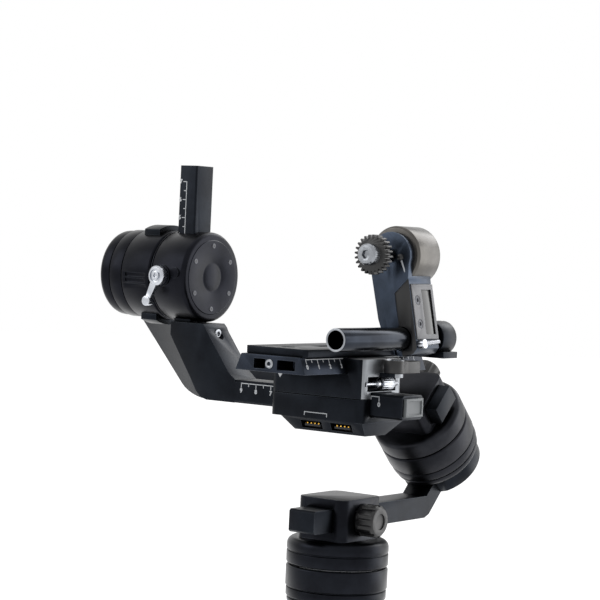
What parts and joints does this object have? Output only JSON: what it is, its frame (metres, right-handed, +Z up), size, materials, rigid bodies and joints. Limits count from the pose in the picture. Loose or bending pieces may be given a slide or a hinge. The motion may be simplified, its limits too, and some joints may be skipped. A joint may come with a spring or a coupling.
{
  "type": "gimbal stabilizer",
  "caption": "Handheld camera gimbal with motors on its pan, roll and tilt axes, a sliding camera plate, a focus motor on a rod and a folding tripod base.",
  "frame": {"origin": "centre of the mouth of the base thread under the tripod hub, on the pan axis", "axes": "+Z up along the pan axis; -Y is the way the camera looks; +X is the camera's left, which is the right seen from the front"},
  "size_m": [0.2606, 0.2362, 0.5069],
  "materials": {
    "handle_plastic": "fine moulded texture",
    "grip_rubber": "matte ribbed",
    "cell_wrap": "heat-shrink film",
    "smoked_window": "smoked",
    "button_plastic": "satin",
    "collar_aluminium": "black anodised, knurled",
    "circuit_board": "solder mask",
    "panel_plastic": "satin",
    "turned_steel": "turned",
    "wheel_rubber": "matte",
    "leg_plastic": "fine moulded texture",
    "anodised_motor": "black anodised, satin, turned",
    "copper_winding": "enamelled copper wire",
    "knob_plastic": "satin",
    "anodised_arm": "black anodised, fine bead blast",
    "bright_lever": "satin chrome",
    "end_cap_plastic": "satin grey",
    "socket_plastic": "matte",
    "anodised_plate": "slate anodised, milled",
    "anodised_rod": "black anodised, polished",
    "anodised_focus": "slate anodised, satin",
    "cover_plastic": "satin",
    "gear_plastic": "moulded gear teeth"
  },
  "bodies": {
    "handle": {"grip_shell": "handle_plastic", "grip_rubber": "grip_rubber", "battery_cells": "cell_wrap", "level_window": "smoked_window", "head_left_shell": "handle_plastic", "head_right_shell": "handle_plastic", "head_board": "circuit_board", "control_panel": "panel_plastic", "tripod_hub": "handle_plastic", "tripod_stud": "turned_steel", "leg_pins": "turned_steel", "pan_motor_can": "anodised_motor", "pan_stator": "copper_winding"},
    "battery_button": {"battery_button": "button_plastic"},
    "grip_collar": {"grip_collar": "collar_aluminium"},
    "joystick_ring": {"joystick_cradle": "turned_steel"},
    "joystick": {"joystick_cap": "grip_rubber"},
    "mode_button": {"mode_button": "button_plastic"},
    "power_button": {"power_button": "button_plastic"},
    "trigger": {"trigger": "button_plastic"},
    "focus_wheel": {"focus_wheel": "wheel_rubber"},
    "usb_cover": {"usb_cover": "wheel_rubber"},
    "leg_a": {"tripod_leg_a": "leg_plastic"},
    "leg_b": {"tripod_leg_b": "leg_plastic"},
    "leg_c": {"tripod_leg_c": "leg_plastic"},
    "pan_stage": {"pan_motor_bell": "anodised_motor", "pan_rotor": "turned_steel"},
    "pan_knob": {"pan_lock_knob": "knob_plastic"},
    "pan_arm": {"pan_arm": "anodised_arm", "roll_motor_can": "anodised_motor", "roll_stator": "copper_winding"},
    "roll_stage": {"roll_motor_bell": "anodised_motor", "roll_rotor": "turned_steel"},
    "roll_knob": {"roll_lock_knob": "knob_plastic"},
    "roll_arm": {"roll_arm": "anodised_arm", "tilt_motor_can": "anodised_motor", "tilt_stator": "copper_winding"},
    "tilt_stage": {"tilt_clamp": "anodised_motor", "tilt_rotor": "turned_steel"},
    "tilt_lever": {"tilt_lock_lever": "bright_lever"},
    "upright": {"vertical_bar": "anodised_arm", "rail_bracket": "anodised_arm", "bracket_screws": "turned_steel", "rail_end_cap": "end_cap_plastic"},
    "carriage": {"carriage_body": "anodised_arm", "port_housing": "anodised_arm", "port_sockets": "socket_plastic"},
    "carriage_wheel": {"carriage_lock_wheel": "bright_lever"},
    "plate_lever": {"plate_lock_lever": "knob_plastic"},
    "camera_plate": {"dovetail_plate": "anodised_plate", "riser_plate": "anodised_arm", "rod_mount": "anodised_arm", "accessory_rod": "anodised_rod", "plate_screws": "turned_steel"},
    "camera_screw": {"camera_screw": "turned_steel"},
    "focus_motor": {"focus_motor_body": "anodised_focus", "focus_motor_can": "anodised_focus", "focus_motor_cover": "cover_plastic"},
    "focus_lever": {"focus_lock_lever": "bright_lever"},
    "focus_gear": {"focus_gear": "gear_plastic"}
  },
  "joints": [
    {"name": "leg_a_fold", "type": "hinge", "parent": "handle", "child": "leg_a", "pos_m": [-0.01299, 0.0075, 0.02], "axis": [-0.5, -0.866, 0], "range_deg": [0, 66]},
    {"name": "leg_b_fold", "type": "hinge", "parent": "handle", "child": "leg_b", "pos_m": [0, -0.015, 0.02], "axis": [1, 0, 0], "range_deg": [0, 66]},
    {"name": "leg_c_fold", "type": "hinge", "parent": "handle", "child": "leg_c", "pos_m": [0.01299, 0.0075, 0.02], "axis": [-0.5, 0.866, 0], "range_deg": [0, 66]},
    {"name": "collar_turn", "type": "hinge", "parent": "handle", "child": "grip_collar", "pos_m": [0, 0, 0.172], "axis": [0, 0, 1], "range_deg": [0, 30]},
    {"name": "battery_button_press", "type": "slide", "parent": "handle", "child": "battery_button", "axis": [0, -1, 0], "range_m": [0, 0.0008], "stiffness_N_per_m": 400, "springref_m": -0.0008},
    {"name": "mode_button_press", "type": "slide", "parent": "handle", "child": "mode_button", "axis": [0, -1, 0], "range_m": [0, 0.0008], "stiffness_N_per_m": 400, "springref_m": -0.0008},
    {"name": "power_button_press", "type": "slide", "parent": "handle", "child": "power_button", "axis": [1, 0, 0], "range_m": [0, 0.0008], "stiffness_N_per_m": 400, "springref_m": -0.0008},
    {"name": "joystick_sideways", "type": "hinge", "parent": "handle", "child": "joystick_ring", "pos_m": [0, 0.0231, 0.222], "axis": [0, 0, 1], "range_deg": [-12, 12], "stiffness_Nm_per_rad": 0.02},
    {"name": "joystick_up_down", "type": "hinge", "parent": "joystick_ring", "child": "joystick", "pos_m": [0, 0.0231, 0.222], "axis": [1, 0, 0], "range_deg": [-12, 12], "stiffness_Nm_per_rad": 0.02},
    {"name": "trigger_pull", "type": "hinge", "parent": "handle", "child": "trigger", "pos_m": [0, -0.0215, 0.232], "axis": [1, 0, 0], "range_deg": [0, 9], "stiffness_Nm_per_rad": 0.3, "springref_deg": -8.59},
    {"name": "focus_wheel_turn", "type": "hinge", "parent": "handle", "child": "focus_wheel", "pos_m": [0.0284, 0, 0.2188], "axis": [1, 0, 0], "continuous": true},
    {"name": "usb_cover_open", "type": "hinge", "parent": "handle", "child": "usb_cover", "pos_m": [-0.02384, 0, 0.1908], "axis": [0, -1, 0], "range_deg": [0, 95]},
    {"name": "pan", "type": "hinge", "parent": "handle", "child": "pan_stage", "pos_m": [0, 0, 0.2686], "axis": [0, 0, 1], "continuous": true},
    {"name": "pan_knob_turn", "type": "hinge", "parent": "pan_stage", "child": "pan_knob", "pos_m": [0.018, 0, 0.2936], "axis": [1, 0, 0], "continuous": true},
    {"name": "pan_arm_balance", "type": "slide", "parent": "pan_stage", "child": "pan_arm", "axis": [0, 1, 0], "range_m": [-0.01, 0.01]},
    {"name": "roll", "type": "hinge", "parent": "pan_arm", "child": "roll_stage", "pos_m": [0, 0.07729, 0.33831], "axis": [0, 0.7071, -0.7071], "range_deg": [-30, 30]},
    {"name": "roll_knob_turn", "type": "hinge", "parent": "roll_stage", "child": "roll_knob", "pos_m": [0, 0.0776, 0.36628], "axis": [0, 0.7071, 0.7071], "continuous": true},
    {"name": "roll_arm_balance", "type": "slide", "parent": "roll_stage", "child": "roll_arm", "axis": [1, 0, 0], "range_m": [-0.01, 0.01]},
    {"name": "tilt", "type": "hinge", "parent": "roll_arm", "child": "tilt_stage", "pos_m": [-0.1172, 0, 0.4156], "axis": [1, 0, 0], "range_deg": [-90, 90]},
    {"name": "tilt_lever_turn", "type": "hinge", "parent": "tilt_stage", "child": "tilt_lever", "pos_m": [-0.1082, -0.0264, 0.4156], "axis": [0, 1, 0], "range_deg": [-80, 0]},
    {"name": "upright_balance", "type": "slide", "parent": "tilt_stage", "child": "upright", "axis": [0, 0, 1], "range_m": [-0.009, 0]},
    {"name": "carriage_balance", "type": "slide", "parent": "upright", "child": "carriage", "axis": [1, 0, 0], "range_m": [-0.015, 0.015]},
    {"name": "carriage_wheel_turn", "type": "hinge", "parent": "carriage", "child": "carriage_wheel", "pos_m": [0.0226, 0, 0.3657], "axis": [0, 1, 0], "continuous": true},
    {"name": "plate_lever_turn", "type": "hinge", "parent": "carriage", "child": "plate_lever", "pos_m": [0.029, 0.002, 0.3695], "axis": [0, 0, 1], "range_deg": [-100, 0]},
    {"name": "plate_balance", "type": "slide", "parent": "carriage", "child": "camera_plate", "axis": [0, 1, 0], "range_m": [-0.03, 0.008]},
    {"name": "camera_screw_turn", "type": "hinge", "parent": "camera_plate", "child": "camera_screw", "pos_m": [-0.0092, 0.008, 0.3707], "axis": [0, 0, 1], "continuous": true},
    {"name": "focus_motor_swing", "type": "hinge", "parent": "camera_plate", "child": "focus_motor", "pos_m": [0.03, 0.016, 0.3897], "axis": [0, 1, 0], "range_deg": [-25, 20]},
    {"name": "focus_lever_turn", "type": "hinge", "parent": "focus_motor", "child": "focus_lever", "pos_m": [0.03999, 0.0084, 0.38724], "axis": [0.9799, 0, 0.1994], "range_deg": [0, 75]},
    {"name": "focus_gear_turn", "type": "hinge", "parent": "focus_motor", "child": "focus_gear", "pos_m": [0.02123, 0, 0.43282], "axis": [0, 1, 0], "continuous": true}
  ]
}
